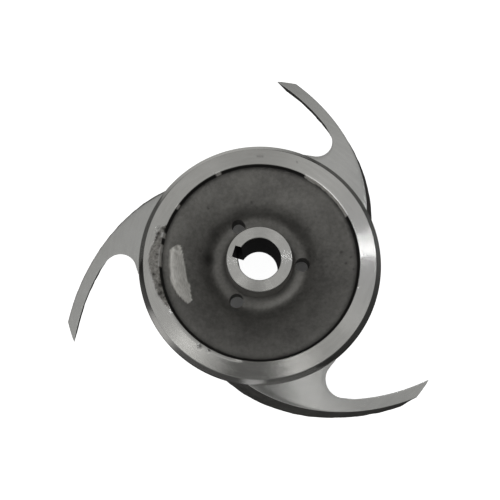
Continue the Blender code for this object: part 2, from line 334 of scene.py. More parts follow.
def turned_steel(name, dark, light, rough, patch):
    """Fine rings in the height and the roughness, smears along the turning, and, where asked, a rough worn patch with
    painted glints and painted shade read from masks.
    """
    material, tree, shader = new_material(name)
    place, radius, angle, outward, height = shaft_coordinates(tree)
    fine = add_node(tree, "TexNoise", {"W": calculate(tree, "MULTIPLY", radius, 5200.0), "Detail": 1.0}, noise_dimensions="1D")
    band = add_node(tree, "TexNoise", {"W": calculate(tree, "MULTIPLY", radius, 620.0), "Detail": 2.0}, noise_dimensions="1D")
    along = add_node(tree, "CombineXYZ", {0: calculate(tree, "MULTIPLY", radius, 330.0), 1: calculate(tree, "MULTIPLY", angle, 5.0)})
    smear = add_node(tree, "TexNoise", {"Vector": along, "Scale": 1.0, "Detail": 3.0}, noise_dimensions="2D")
    cloud = add_node(tree, "TexNoise", {"Vector": place, "Scale": 55.0, "Detail": 4.0, "Roughness": 0.6})
    tone = calculate(tree, "ADD", calculate(tree, "MULTIPLY", smear, 0.4), calculate(tree, "MULTIPLY", cloud, 0.6))
    colour = blend(tree, stretch(tree, tone, 0.30, 0.70, 0.0, 1.0), dark, light)
    roughness = calculate(tree, "ADD", rough, calculate(tree, "MULTIPLY", calculate(tree, "SUBTRACT", band, 0.5), 0.04))
    roughness = calculate(tree, "ADD", roughness, calculate(tree, "MULTIPLY", calculate(tree, "SUBTRACT", cloud, 0.5), 0.06))
    relief = calculate(tree, "MULTIPLY", fine, 0.06)
    if patch:
        worn = add_node(tree, "Attribute", output="Fac", attribute_name="pitted")
        grain = add_node(tree, "TexNoise", {"Vector": place, "Scale": 420.0, "Detail": 5.0, "Roughness": 0.7})
        rust = blend(tree, stretch(tree, grain, 0.38, 0.62, 0.0, 1.0), (0.34, 0.325, 0.305, 1.0), (0.66, 0.64, 0.61, 1.0))
        colour = blend(tree, worn, colour, rust)
        # Painted glints on the ring's chamfer, stored with the bare metal, take a near-white colour.
        colour = blend(tree, add_node(tree, "Attribute", output="Fac", attribute_name="bare_metal_and_painted_light"), colour, (0.95, 0.94, 0.92, 1.0))
        # Painted shade under the ring's edge, and real marks, darken the ring.
        colour = blend(tree, add_node(tree, "Attribute", output="Fac", attribute_name="painted_shade_and_grime"), colour, (0.035, 0.032, 0.030, 1.0))
        roughness = calculate(tree, "ADD", roughness, calculate(tree, "MULTIPLY", worn, 0.30))
        relief = calculate(tree, "ADD", relief, calculate(tree, "MULTIPLY", calculate(tree, "MULTIPLY", grain, worn), 4.0))
    bump = add_node(tree, "Bump", {"Strength": 1.0, "Distance": 0.0001, "Height": relief})
    feed(tree, shader, Base_Color=colour, Metallic=1.0, Roughness=roughness, Normal=bump, Tangent=outward)
    shader.inputs["Anisotropic"].default_value = 1.0
    return material


ring_steel = turned_steel("turned_steel", (0.53, 0.525, 0.51, 1.0), (0.61, 0.605, 0.59, 1.0), 0.145, True)
back_steel = turned_steel("faced_vane_steel", (0.55, 0.55, 0.54, 1.0), (0.62, 0.62, 0.61, 1.0), 0.17, False)
print("turned steel:", len(ring_steel.node_tree.nodes), "nodes")

# %% [markdown]
# ## Cast skin
#
# Where the casting was never machined it keeps a dark, finely grained skin. Two
# grains do the work: a coarse one for the sand and a fine one for its sparkle.
# The ground patch is the same metal laid bare, so it is a lighter and smoother
# share of the same material. Painted glints and a painted highlight share its
# bright colour, painted shade darkens the skin, and the vane walls and the bore
# get darker copies of the skin as painted shade.

# %% Cast skin
def cast_skin(name, dark, light, rough, metal, patches):
    """Coarse and fine grain in the colour and the height; the patch bared by grinding, painted glints and highlight,
    painted shade, a stain and marks come from masks.
    """
    material, tree, shader = new_material(name)
    place, radius, angle, outward, height = shaft_coordinates(tree)
    coarse = add_node(tree, "TexNoise", {"Vector": place, "Scale": 240.0, "Detail": 6.0, "Roughness": 0.62})
    fine = add_node(tree, "TexNoise", {"Vector": place, "Scale": 1100.0, "Detail": 3.0, "Roughness": 0.6})
    cloud = add_node(tree, "TexNoise", {"Vector": place, "Scale": 38.0, "Detail": 3.0})
    tone = calculate(tree, "ADD", calculate(tree, "MULTIPLY", coarse, 0.55), calculate(tree, "MULTIPLY", cloud, 0.45))
    colour = blend(tree, stretch(tree, tone, 0.38, 0.62, 0.0, 1.0), dark, light)
    roughness = calculate(tree, "ADD", rough, calculate(tree, "MULTIPLY", calculate(tree, "SUBTRACT", coarse, 0.5), 0.25))
    relief = calculate(tree, "ADD", calculate(tree, "MULTIPLY", coarse, 1.0), calculate(tree, "MULTIPLY", fine, 0.35))
    if patches:
        # Painted shade, with a stain and marks, darkens the skin to near black.
        painted_shade_and_grime = add_node(tree, "Attribute", output="Fac", attribute_name="painted_shade_and_grime")
        colour = blend(tree, painted_shade_and_grime, colour, (0.012, 0.012, 0.011, 1.0))
        # The bare metal of the patch, and the painted glints and painted highlight stored with it, get the bright
        # colour.
        bare_or_painted_light = add_node(tree, "Attribute", output="Fac", attribute_name="bare_metal_and_painted_light")
        strokes = add_node(tree, "CombineXYZ", {0: calculate(tree, "MULTIPLY", radius, 1500.0), 1: calculate(tree, "MULTIPLY", angle, 14.0)})
        stroke = add_node(tree, "TexNoise", {"Vector": strokes, "Scale": 1.0, "Detail": 3.0}, noise_dimensions="2D")
        bright = blend(tree, stretch(tree, stroke, 0.35, 0.65, 0.0, 1.0), (0.74, 0.72, 0.68, 1.0), (0.97, 0.95, 0.91, 1.0))
        colour = blend(tree, bare_or_painted_light, colour, bright)
        roughness = calculate(tree, "SUBTRACT", roughness, calculate(tree, "MULTIPLY", bare_or_painted_light, 0.12))
        relief = calculate(tree, "MULTIPLY", relief, stretch(tree, bare_or_painted_light, 0.0, 1.0, 1.0, 0.25))
    bump = add_node(tree, "Bump", {"Strength": 1.0, "Distance": 0.00022, "Height": relief})
    feed(tree, shader, Base_Color=colour, Metallic=metal, Roughness=roughness, Normal=bump)
    return material


dish_skin = cast_skin("cast_skin", (0.180, 0.175, 0.166, 1.0), (0.285, 0.278, 0.263, 1.0), 0.48, 0.45, True)
# The vane walls get a darker copy of the cast skin, as painted shade on them.
shaded_wall_skin = cast_skin("vane_wall_skin", (0.12, 0.118, 0.112, 1.0), (0.20, 0.197, 0.188, 1.0), 0.46, 0.6, False)
# The bore's wall gets a near-black copy of the cast skin: painted shade deep inside the bore.
shaded_bore_skin = cast_skin("bored_wall_painted_shade", (0.030, 0.029, 0.028, 1.0), (0.060, 0.058, 0.056, 1.0), 0.40, 1.0, False)
print("cast skin:", len(dish_skin.node_tree.nodes), "nodes")

# %% [markdown]
# ## The disc and its hub
#
# On the real part the disc is cast, then turned: bore, hub face, ring and rim.
# One closed section is carried round the shaft, so there is no seam. The section
# is a list of short stretches, and each knows how many rows it gets.

# %% Section of the disc
def dish_height(radius):
    """Back of the disc: steep beside the hub, level by the ring, by a power of the way in."""
    share = np.clip((DISH_RADIUS - radius) / (DISH_RADIUS - SHOULDER_RADIUS), 0.0, None)
    return SHOULDER_TOP + (DISH_TOP - SHOULDER_TOP) * (1.0 - share**1.7)


def front_height(radius):
    """Flow side of the disc, from the nose up to the rim, by a power of the way in."""
    share = np.clip((RIM_RADIUS - radius) / (RIM_RADIUS - NOSE_RADIUS), 0.0, 1.0)
    return RIM_FRONT * (1.0 - share**2.6)


def stretch_line(start, end, rows):
    """Straight stretch of the section, without its last point."""
    share = np.arange(rows)[:, None] / rows
    return np.array(start) * (1.0 - share) + np.array(end) * share


def stretch_curve(height, start, end, rows):
    """Stretch whose height is a function of the radius."""
    radius = start + (end - start) * np.arange(rows) / rows
    return np.column_stack([radius, height(radius)])


def stretch_blend(start, corner, end, rows):
    """A corner rounded off: a curve with three control points."""
    share = np.arange(rows)[:, None] / rows
    return (1 - share) ** 2 * np.array(start) + 2 * share * (1 - share) * np.array(corner) + share**2 * np.array(end)


def stretch_fillet(rows):
    """Quarter round from the hub side down to the shoulder."""
    turn = 0.5 * np.pi * np.arange(rows) / rows
    return np.column_stack([HUB_FOOT_RADIUS + HUB_FILLET * (1.0 - np.cos(turn)), SHOULDER_TOP + HUB_FILLET * (1.0 - np.sin(turn))])


CAST, TURNED, BORED = 0, 1, 2
FOOT_FILLET = HUB_FOOT_RADIUS + HUB_FILLET
section = [
    (BORED, stretch_line((BORE_RADIUS, 0.0008), (BORE_RADIUS, HUB_TOP - 0.0005), 6)),
    (TURNED, stretch_line((BORE_RADIUS, HUB_TOP - 0.0005), (BORE_RADIUS + 0.0005, HUB_TOP), 1)),
    (TURNED, stretch_line((BORE_RADIUS + 0.0005, HUB_TOP), (HUB_RADIUS - 0.0006, HUB_TOP), 8)),
    (TURNED, stretch_line((HUB_RADIUS - 0.0006, HUB_TOP), (HUB_RADIUS, HUB_TOP - 0.0006), 2)),
    (CAST, stretch_line((HUB_RADIUS, HUB_TOP - 0.0006), (HUB_FOOT_RADIUS, SHOULDER_TOP + HUB_FILLET), 6)),
    (CAST, stretch_fillet(6)),
    (CAST, stretch_line((FOOT_FILLET, SHOULDER_TOP), (SHOULDER_RADIUS - 0.0035, SHOULDER_TOP), 4)),
    (CAST, stretch_blend((SHOULDER_RADIUS - 0.0035, SHOULDER_TOP), (SHOULDER_RADIUS, SHOULDER_TOP), (SHOULDER_RADIUS + 0.0035, dish_height(SHOULDER_RADIUS + 0.0035)), 6)),
    (CAST, stretch_curve(dish_height, SHOULDER_RADIUS + 0.0035, DISH_RADIUS, 35)),
    (CAST, stretch_line((DISH_RADIUS, DISH_TOP), (0.0982, 0.0708), 3)),
    (CAST, stretch_line((0.0982, 0.0708), (0.0987, 0.0711), 1)),
    (CAST, stretch_line((0.0987, 0.0711), (0.0999, 0.0764), 4)),
    (TURNED, stretch_line((0.0999, 0.0764), (0.1004, RING_TOP), 2)),
    (TURNED, stretch_line((0.1004, RING_TOP), (RING_OUTER - 0.0002, RING_TOP), 15)),
    (TURNED, stretch_line((RING_OUTER - 0.0002, RING_TOP), (RING_OUTER + 0.0002, RING_TOP - 0.00025), 1)),
    (TURNED, stretch_line((RING_OUTER + 0.0002, RING_TOP - 0.00025), (RIM_RADIUS - 0.0002, RIM_FOOT + 0.0002), 7)),
    (TURNED, stretch_line((RIM_RADIUS - 0.0002, RIM_FOOT + 0.0002), (RIM_RADIUS, RIM_FOOT - 0.0003), 1)),
    (CAST, stretch_line((RIM_RADIUS, RIM_FOOT - 0.0003), (RIM_RADIUS, RIM_FRONT + 0.0012), 4)),
    (CAST, stretch_line((RIM_RADIUS, RIM_FRONT + 0.0012), (RIM_RADIUS - 0.0012, front_height(RIM_RADIUS - 0.0012)), 2)),
    (CAST, stretch_curve(front_height, RIM_RADIUS - 0.0012, NOSE_RADIUS + 0.0002, 22)),
    (CAST, stretch_line((NOSE_RADIUS + 0.0002, front_height(NOSE_RADIUS + 0.0002)), (NOSE_RADIUS - 0.0006, 0.0), 2)),
    (TURNED, stretch_line((NOSE_RADIUS - 0.0006, 0.0), (BORE_RADIUS + 0.0008, 0.0), 4)),
    (TURNED, stretch_line((BORE_RADIUS + 0.0008, 0.0), (BORE_RADIUS, 0.0008), 1)),
]
profile = np.concatenate([stretch_points for finish, stretch_points in section])
row_finish = np.concatenate([np.full(len(stretch_points), finish) for finish, stretch_points in section])
print("section of the disc:", len(profile), "rows")

# %% [markdown]
# The keyway is part of the same grid: near the bore a ring of points follows the
# keyed outline instead of a circle, and by the middle of the hub face it is a
# circle again. Columns are moved onto the keyway's corners to keep them crisp.

# %% Columns and keyed bore
COLUMNS = 650
key_corners = KEY_ANGLE + np.array([-1, 1, -1, 1]) * np.array([
    np.arctan(KEY_HALF_WIDTH / KEY_REACH), np.arctan(KEY_HALF_WIDTH / KEY_REACH),
    np.arcsin(KEY_HALF_WIDTH / BORE_RADIUS), np.arcsin(KEY_HALF_WIDTH / BORE_RADIUS)])
column_angle = np.arange(COLUMNS) * 2.0 * np.pi / COLUMNS
column_angle[np.abs(column_angle[:, None] - key_corners).argmin(axis=0)] = key_corners


def keyed_bore(angle):
    """Radius of the bore's outline: the circle, or the nearer of the keyway's floor and its side."""
    turn = angle - KEY_ANGLE
    floor = KEY_REACH / np.maximum(np.cos(turn), 0.2)
    side = KEY_HALF_WIDTH / np.maximum(np.abs(np.sin(turn)), 1e-6)
    slot = np.where(np.cos(turn) > 0.5, np.minimum(floor, side), 0.0)
    return np.maximum(BORE_RADIUS, slot)


def carry_round(profile):
    """Grid of the section turned about the shaft: radius times cosine and sine, and the height."""
    radius = profile[:, 0][:, None] + np.zeros(COLUMNS)
    fade = np.clip((HUB_RADIUS - 0.001 - radius) / (HUB_RADIUS - 0.001 - BORE_RADIUS), 0.0, 1.0)
    radius = radius + fade * (keyed_bore(column_angle) - BORE_RADIUS)
    height = profile[:, 1][:, None] + np.zeros(COLUMNS)
    return np.stack([radius * np.cos(column_angle), radius * np.sin(column_angle), height], axis=-1)


disc_points = carry_round(profile)
print("disc grid:", disc_points.shape[:2])

# %% [markdown]
# ## Skin, pits and worn places as real relief
#
# Bump mapping can't change an outline or catch a shadow, so the larger marks are
# real: the skin's slow waves, the pits in the dished back, the nicks in the
# ring's edge and the two worn places. Each is a distance that a point moves
# along its own outward direction.

# %% Relief of the disc
DISH_PITS = [  # x, y, radius, depth
    (-0.0532, 0.0555, 0.0010, 0.0007), (-0.0077, 0.0639, 0.0011, 0.0008), (0.0831, 0.0083, 0.0013, 0.0006),
    (0.0925, 0.0027, 0.0011, 0.0006), (0.0875, -0.0032, 0.0012, 0.0006), (0.0945, -0.0096, 0.0010, 0.0005),
    (-0.0833, 0.0130, 0.0019, 0.0012), (-0.0841, 0.0072, 0.0018, 0.0006), (-0.0765, 0.0010, 0.0010, 0.0006),
    (-0.0750, -0.0040, 0.0012, 0.0005), (0.0660, -0.0430, 0.0012, 0.0003), (-0.0610, 0.0120, 0.0012, 0.0004)]
RING_NICKS = [(-0.0572, -0.0856, 0.0012, 0.0009), (-0.0485, -0.0893, 0.0010, 0.0006), (-0.0460, 0.0900, 0.0012, 0.0005),
              (0.0969, -0.0274, 0.0010, 0.0004), (-0.1029, 0.0325, 0.0016, 0.0008), (-0.1047, 0.0273, 0.0014, 0.0007),
              (-0.0987, -0.0177, 0.0013, 0.0009), (-0.0985, -0.0277, 0.0013, 0.0009)]


def section_normals(profile):
    """Outward direction in the section: the slope between the two neighbours, turned a quarter."""
    along = np.roll(profile, -1, axis=0) - np.roll(profile, 1, axis=0)
    outward = np.column_stack([-along[:, 1], along[:, 0]])
    return outward / np.maximum(np.linalg.norm(outward, axis=1, keepdims=True), 1e-9)


def move_skin(points):
    """Add the relief along the outward direction of the section."""
    outward = section_normals(profile)
    direction = np.stack([outward[:, 0, None] * np.cos(column_angle), outward[:, 0, None] * np.sin(column_angle),
                          outward[:, 1, None] + np.zeros(COLUMNS)], axis=-1)
    is_cast = (row_finish == CAST) & (np.roll(row_finish, 1) == CAST)
    waves = 0.00014 * skin_waves(points, 0.013, 1) + 0.00006 * skin_waves(points, 0.0045, 2)
    upper = points[..., 2] > 0.040
    relief = np.where(is_cast[:, None], waves, 0.0)
    relief -= np.where(is_cast[:, None] & upper, pits(points, DISH_PITS) + 0.0003 * ground_mask(points), 0.0)
    on_ring = ((row_finish == TURNED) & (profile[:, 0] > 0.099) & (profile[:, 1] > 0.075))[:, None]
    rough = 0.00030 + 0.00022 * skin_waves(points, 0.0032, 3)
    turn = angle_from_left(points)
    lip = smooth_step(28.0, 33.0, turn) * (1.0 - smooth_step(72.0, 82.0, turn)) * (1.0 - smooth_step(0.1015, 0.1019, np.hypot(points[..., 0], points[..., 1])))
    relief -= np.where(on_ring, 0.0006 * lip, 0.0)
    relief -= np.where(on_ring, pits(points, RING_NICKS) + pitted_mask(points) * np.clip(rough, 0.0, 0.0012), 0.0)
    moved = points + direction * relief[..., None]
    moved[..., 2] = np.maximum(moved[..., 2], 0.0)
    return moved


disc_points = move_skin(disc_points)
disc_slots = np.repeat(row_finish, COLUMNS)
disc = make_piece("disc_and_hub", disc_points, grid_faces(len(profile), COLUMNS, True), [dish_skin, ring_steel, shaded_bore_skin], disc_slots)

# %% [markdown]
# ## Balance holes
#
# Three holes through the web of the disc even out the pressure behind it. They
# are drilled after casting, so a Boolean cut is the honest tool: three round
# cutters go right through, and the cut is applied at once.

# %% Drill the balance holes
def drill_balance_holes(disc):
    """Cut three round holes, 120 degrees apart, and keep the result as the mesh."""
    shape = bmesh.new()
    for index in range(3):
        angle = HOLE_ANGLE + index * THIRD
        place = bmesh.ops.create_cone(shape, cap_ends=True, segments=64, radius1=HOLE_RADIUS, radius2=HOLE_RADIUS, depth=0.08)
        bmesh.ops.translate(shape, verts=place["verts"], vec=(HOLE_CIRCLE * np.cos(angle), HOLE_CIRCLE * np.sin(angle), 0.030))
    mesh = bpy.data.meshes.new("balance_drills")
    shape.to_mesh(mesh)
    shape.free()
    drill = bpy.data.objects.new("balance_drills", mesh)
    bpy.context.scene.collection.objects.link(drill)
    cut = disc.modifiers.new("balance_holes", "BOOLEAN")
    cut.operation, cut.solver, cut.object = "DIFFERENCE", "EXACT", drill
    bpy.context.view_layer.update()
    drilled = bpy.data.meshes.new_from_object(disc.evaluated_get(bpy.context.evaluated_depsgraph_get()))
    disc.modifiers.clear()
    disc.data = drilled
    bpy.data.objects.remove(drill, do_unlink=True)
    print("disc after drilling:", len(drilled.polygons), "faces")


drill_balance_holes(disc)

# %% [markdown]
# ## Masks on the finished disc
#
# The materials read three numbers from every vertex: the ground patch with painted
# glints and highlight, the pitted patch, and painted shade with some grime. They
# are stored once the mesh is final, because they are worked out from its points.

# %% Store the masks
def mesh_points(mesh):
    """All vertices as one array."""
    points = np.empty(len(mesh.vertices) * 3, dtype=np.float32)
    mesh.vertices.foreach_get("co", points)
    return points.reshape(-1, 3).astype(float)


def store_mask(mesh, name, values):
    """A number on every vertex, read in a material by its name."""
    layer = mesh.attributes.new(name, "FLOAT", "POINT")
    layer.data.foreach_set("value", values.astype(np.float32))


def ring_of_painted_shade(points, radius, width, strength, toward=0.0, spread=0.0):
    """A ring of painted shade with soft edges; spread makes it stronger towards one angle."""
    away = (np.hypot(points[:, 0], points[:, 1]) - radius) / width
    side = 1.0 + spread * np.cos(np.arctan2(points[:, 1], points[:, 0]) - np.radians(toward))
    return strength * side * np.exp(-away * away)


def painted_shade_and_grime_mask(points):
    """Painted shade under the ring's edge, in the hub's corner, on the dish's steep part and towards the lower right
    and bottom; darkened pits, a stain and real marks.
    """
    upper = (points[:, 2] > 0.040) & (points[:, 2] < 0.0766) & (np.hypot(points[:, 0], points[:, 1]) > 0.034)
    # Painted shade in the groove under the ring's edge.
    painted_shade_and_grime = ring_of_painted_shade(points, 0.0993, 0.0009, 0.88) + ring_of_painted_shade(points, 0.0985, 0.0030, 0.33)
    # Painted shade in the hub's corner and on the dish's steep part, stronger towards the upper left.
    painted_shade_and_grime += ring_of_painted_shade(points, 0.0385, 0.0022, 0.40) + ring_of_painted_shade(points, 0.0560, 0.0055, 0.28, 150.0, 0.5)
    # Painted shade, darker towards the lower right and the bottom.
    painted_shade_and_grime += ring_of_painted_shade(points, 0.0900, 0.0090, 0.10, -50.0, 1.0) + ring_of_painted_shade(points, 0.0730, 0.0180, 0.11, -80.0, 1.0)
    # A dark stain left of the hub.
    painted_shade_and_grime += 0.45 * np.exp(-((points[:, 0] + 0.052) ** 2 + (points[:, 1] - 0.004) ** 2) / 0.0062**2)
    # The pits darkened.
    painted_shade_and_grime += 900.0 * pits(points, DISH_PITS)
    marks = (pits(points, DARK_MARKS) + patch_outline(points)) * (points[:, 2] > 0.0735)
    return np.clip(painted_shade_and_grime * upper * (1.0 - 0.9 * glint_and_rub_mask(points)) + marks, 0.0, 0.95)


def bare_metal_and_painted_light_mask(points):
    """The patch bared by grinding, with its rubbed outer edge, plus painted light: glints along the ring's edge and a
    painted highlight on the shoulder.
    """
    radius, angle = np.hypot(points[:, 0], points[:, 1]), np.degrees(np.arctan2(points[:, 1], points[:, 0]))
    patch = ground_mask(points) * (points[:, 2] > 0.060) * (0.80 + 0.35 * np.exp(-((radius - 0.0890) / 0.0012) ** 2))
    # Painted highlight: a soft bright spot on the shoulder towards the lower right, where light falls.
    shoulder = 0.22 * np.exp(-((radius - 0.0450) / 0.0035) ** 2 - ((angle + 48.0) / 30.0) ** 2) * (points[:, 2] > 0.044)
    return patch + shoulder + glint_and_rub_mask(points) * (points[:, 2] > 0.070)


points = mesh_points(disc.data)
# Bare metal with painted glints and a painted highlight.
store_mask(disc.data, "bare_metal_and_painted_light", bare_metal_and_painted_light_mask(points))
store_mask(disc.data, "pitted", pitted_mask(points))
# Painted shade, with a stain and marks.
store_mask(disc.data, "painted_shade_and_grime", painted_shade_and_grime_mask(points))
disc.data.shade_smooth()
disc.data.set_sharp_from_angle(angle=np.radians(32.0))
print("masks stored on", len(points), "vertices")

# %% [markdown]
# ## One vane with its web
#
# The vane's outer wall is a spiral whose radius grows evenly with the angle, the
# curve that keeps the same slope to the flow everywhere. Both walls lean outwards
# as they go down. A section with seven corners is worked out at many stations;
# between the rim and the round gap root its inner side reaches out to the gap,
# and that makes the web.

# %% The spiral and its walls
def spiral_angle(radius):
    """Angle at which the spiral has a radius: the logarithm of the radius over the slope."""
    return TIP_ANGLE + np.log(radius / TIP_RADIUS) / SPIRAL


def headings(angle):
    """Unit vectors in the plane at these angles."""
    return np.stack([np.cos(angle), np.sin(angle)], axis=-1)


def vane_thickness(radius):
    """Thinner towards the tip, and rounded off at the leading edge like a quarter circle."""
    share = np.clip((radius - RIM_RADIUS) / (TIP_RADIUS - RIM_RADIUS), 0.0, 1.1)
    from_eye = np.clip((radius - EYE_RADIUS) / NOSE_LENGTH, 0.04, 1.0)
    return (THICK_AT_RIM + (THICK_AT_TIP - THICK_AT_RIM) * share) * np.sqrt(1.0 - (1.0 - from_eye) ** 2)


def lean_at(radius, lean):
    """Lean of a wall: it changes from the rim to the tip and fades out towards the eye."""
    share = np.clip((radius - LEAN_RADII[0]) / (LEAN_RADII[1] - LEAN_RADII[0]), 0.0, 1.0)
    return (lean[0] + (lean[1] - lean[0]) * share) * np.clip((radius - EYE_RADIUS) / (WEB_INNER - EYE_RADIUS), 0.0, 1.0)


def wall_place(radius, depth, outer):
    """Place on the outer or inner wall at a station and a depth below the flat back."""
    angle = spiral_angle(radius)
    out = headings(angle - np.arctan(SPIRAL))
    middle = radius[:, None] * headings(angle) - out * (0.5 * vane_thickness(np.maximum(radius, EYE_RADIUS + NOSE_LENGTH)))[:, None]
    half = 0.5 * vane_thickness(radius)
    if outer:
        push = half + lean_at(radius, OUTER_LEAN_UPPER) * np.minimum(depth, LEAN_BEND) + lean_at(radius, OUTER_LEAN_LOWER) * np.maximum(depth - LEAN_BEND, 0.0)
    else:
        push = lean_at(radius, INNER_LEAN) * depth - half
    return middle + out * push[:, None]


# %% Where the vane ends
def last_station(depth):
    """Station at which the inner wall meets the turned outside, found on a fine ladder of stations."""
    ladder = np.linspace(0.17, 0.228, 1500)
    reach = np.linalg.norm(wall_place(ladder, np.full(1500, depth), False), axis=1)
    return np.interp(TIP_RADIUS - TIP_ROUNDING, reach, ladder)


DEPTHS = np.linspace(0.0, 0.020, 21)
LAST = np.array([last_station(depth) for depth in DEPTHS])
APEX = np.array([np.arctan2(*wall_place(np.array([end]), np.array([depth]), False)[0][::-1]) for end, depth in zip(LAST, DEPTHS)])
WARP_FROM = 0.165


def station_at(base, depth):
    """Slide a station along the wall, so that every depth ends on its own last station."""
    scale = (np.interp(depth, DEPTHS, LAST) - WARP_FROM) / (LAST[0] - WARP_FROM)
    return np.where(base > WARP_FROM, WARP_FROM + (base - WARP_FROM) * scale, base)


def turned_outside(place, depth):
    """Hold a place inside the outside diameter, with the sharp trailing corner rounded off."""
    radius, angle = np.linalg.norm(place, axis=1), np.arctan2(place[:, 1], place[:, 0])
    near_end = np.clip((angle - (np.interp(depth, DEPTHS, APEX) - 0.0115)) / 0.0115, 0.0, 1.0)
    limit = TIP_RADIUS - TIP_ROUNDING * near_end**2
    return place * np.minimum(1.0, limit / radius)[:, None]


print("vane ends at station %.1f mm" % (1000 * LAST[0]))

# %% [markdown]
# The gap between a vane and the disc ends in a round root, like the end of a
# slot. Its outline is a path of three stretches: along the rim, round the root
# and out along the vane. The path is measured by its length, so stations share
# it evenly.

# %% Path of the gap
def join_station():
    """Station at which the line that leaves the root meets the vane's inner wall."""
    start = ROOT_CENTRE + ROOT_RADIUS * headings(ROOT_START)
    line = headings(ROOT_START + 0.5 * np.pi)
    ladder = np.linspace(0.158, 0.190, 1200)
    wall = wall_place(ladder, np.zeros(1200), False) - start
    side = line[0] * wall[:, 1] - line[1] * wall[:, 0]
    ahead = wall @ line > 0.002
    return ladder[np.argmax(ahead & (side > -0.00002))]


WEB_FIRST, WEB_LAST = 0.1130, join_station()
rim_end = ROOT_CENTRE + ROOT_RADIUS * headings(ROOT_END) + FLARE_TO_RIM * headings(ROOT_END - 0.5 * np.pi)
hidden_from = wall_place(np.array([WEB_FIRST]), np.zeros(1), False)[0]
hidden_angles = np.linspace(np.arctan2(hidden_from[1], hidden_from[0]), np.arctan2(rim_end[1], rim_end[0]), 24)
gap_path = np.concatenate([
    [hidden_from], WEB_INNER * headings(hidden_angles[1:]), [rim_end],
    ROOT_CENTRE + ROOT_RADIUS * headings(np.linspace(ROOT_END, ROOT_START, 61)),
    wall_place(np.array([WEB_LAST]), np.zeros(1), False)])
path_length = np.concatenate([[0.0], np.cumsum(np.linalg.norm(np.diff(gap_path, axis=0), axis=1))])
hidden_share = path_length[24] / path_length[-1]
print("web from station %.1f to %.1f mm, root %.1f mm across" % (1000 * WEB_FIRST, 1000 * WEB_LAST, 2000 * ROOT_RADIUS))


def gap_place(share):
    """Place on the gap's path; the part hidden under the disc takes only an eighth of the stations."""
    along = np.where(share < 0.125, share / 0.125 * hidden_share, hidden_share + (share - 0.125) / 0.875 * (1.0 - hidden_share)) * path_length[-1]
    return np.column_stack([np.interp(along, path_length, gap_path[:, axis]) for axis in (0, 1)])


# %% [markdown]
# Corners of a casting are never sharp. Each corner of the section is replaced by
# a short curve that starts and ends a little way along its two sides; machined
# edges get half a millimetre, cast edges two to three.

# %% Corners of the section
LEDGE_GAP = 0.0012


def vane_corners(base):
    """Seven corners at every station: outer top, gap side, web bottom, inner wall, front edges, bend."""
    top = front_height(base) + SINK
    top = top + (VANE_BACK - top) * np.clip((base - WEB_INNER) / (0.5 * (RIM_RADIUS + RING_OUTER) - WEB_INNER), 0.0, 1.0)
    share = np.clip((base - EYE_RADIUS) / (TIP_RADIUS - EYE_RADIUS), 0.0, 1.0)
    front = FRONT_AT_EYE + (FRONT_AT_TIP - FRONT_AT_EYE) * share**FRONT_CURVE
    web = np.minimum(VANE_BACK - WEB_THICKNESS, top - 0.35 * (top - front))
    bend = np.clip(VANE_BACK - LEAN_BEND, front + 0.002, top - 0.002)

    def corner(height, outer):
        depth = VANE_BACK - height
        return turned_outside(wall_place(station_at(base, depth), depth, outer), depth)

    way = np.clip((base - WEB_FIRST) / (WEB_LAST - WEB_FIRST), 0.0, 1.0)
    has_web = ((base > WEB_FIRST) & (base < WEB_LAST))[:, None]
    apart = LEDGE_GAP * np.where(has_web[:, 0], smooth_step(0.80, 1.0, way), 1.0)
    outer_top, inner_top = corner(top, True), corner(top, False)
    inner_web, wall_web = corner(web + apart, False), corner(web - apart, False)
    gap = gap_place(way)
    under = gap + WEB_LEAN * WEB_THICKNESS * headings(WEB_LEAN_ANGLE)
    settle = smooth_step(0.80, 1.0, way)[:, None]
    gap_top = np.where(has_web, gap, inner_top)
    gap_under = np.where(has_web, under * (1.0 - settle) + inner_web * settle, inner_web)
    gap_height = np.where(has_web[:, 0], VANE_BACK, top)
    flat = [outer_top, gap_top, gap_under, wall_web, corner(front, False), corner(front, True), corner(bend, True)]
    heights = [top, gap_height, web + apart, web - apart, front, front, bend]
    return np.stack([np.column_stack([place, height]) for place, height in zip(flat, heights)], axis=1)


# %% Round the corners and fill the sides
EDGE_ROUNDING = np.array([0.0005, 0.0005, 0.0014, 0.0030, 0.0016, 0.0010, 0.0040])
SIDE_POINTS = (8, 3, 4, 6, 3, 4, 4)
CORNER_POINTS = 5


def rounded_loop(corners):
    """Each corner becomes a curve with three control points; straight sides are filled evenly."""
    before, after = np.roll(corners, 1, axis=1) - corners, np.roll(corners, -1, axis=1) - corners

    def reach(side):
        length = np.linalg.norm(side, axis=2, keepdims=True)
        return side / np.maximum(length, 1e-9) * np.minimum(EDGE_ROUNDING[None, :, None], 0.42 * length)

    start, end = corners + reach(before), corners + reach(after)
    share = np.linspace(0.0, 1.0, CORNER_POINTS)[None, :, None]
    pieces = []
    for index in range(corners.shape[1]):
        first, control, last = start[:, index, None], corners[:, index, None], end[:, index, None]
        pieces.append((1 - share) ** 2 * first + 2 * share * (1 - share) * control + share**2 * last)
        fill = np.arange(1, SIDE_POINTS[index] + 1)[None, :, None] / (SIDE_POINTS[index] + 1)
        pieces.append(last * (1 - fill) + start[:, (index + 1) % corners.shape[1], None] * fill)
    return np.concatenate(pieces, axis=1)


# %% Stations and skin of a vane
stations = np.concatenate([
    EYE_RADIUS + (WEB_FIRST - EYE_RADIUS) * np.linspace(0.0, 1.0, 60)[:-1] ** 1.2,
    np.linspace(WEB_FIRST, WEB_LAST, 130)[:-1], np.linspace(WEB_LAST, LAST[0] * 0.9999, 110)])
vane_grid = rounded_loop(vane_corners(stations))
print("vane grid:", vane_grid.shape[:2])


def grid_normals(grid):
    """Direction square to the grid: the cross product of its two neighbours' differences."""
    across = np.roll(grid, -1, axis=1) - np.roll(grid, 1, axis=1)
    along = np.gradient(grid, axis=0)
    normal = np.cross(across, along)
    return normal / np.maximum(np.linalg.norm(normal, axis=2, keepdims=True), 1e-12)


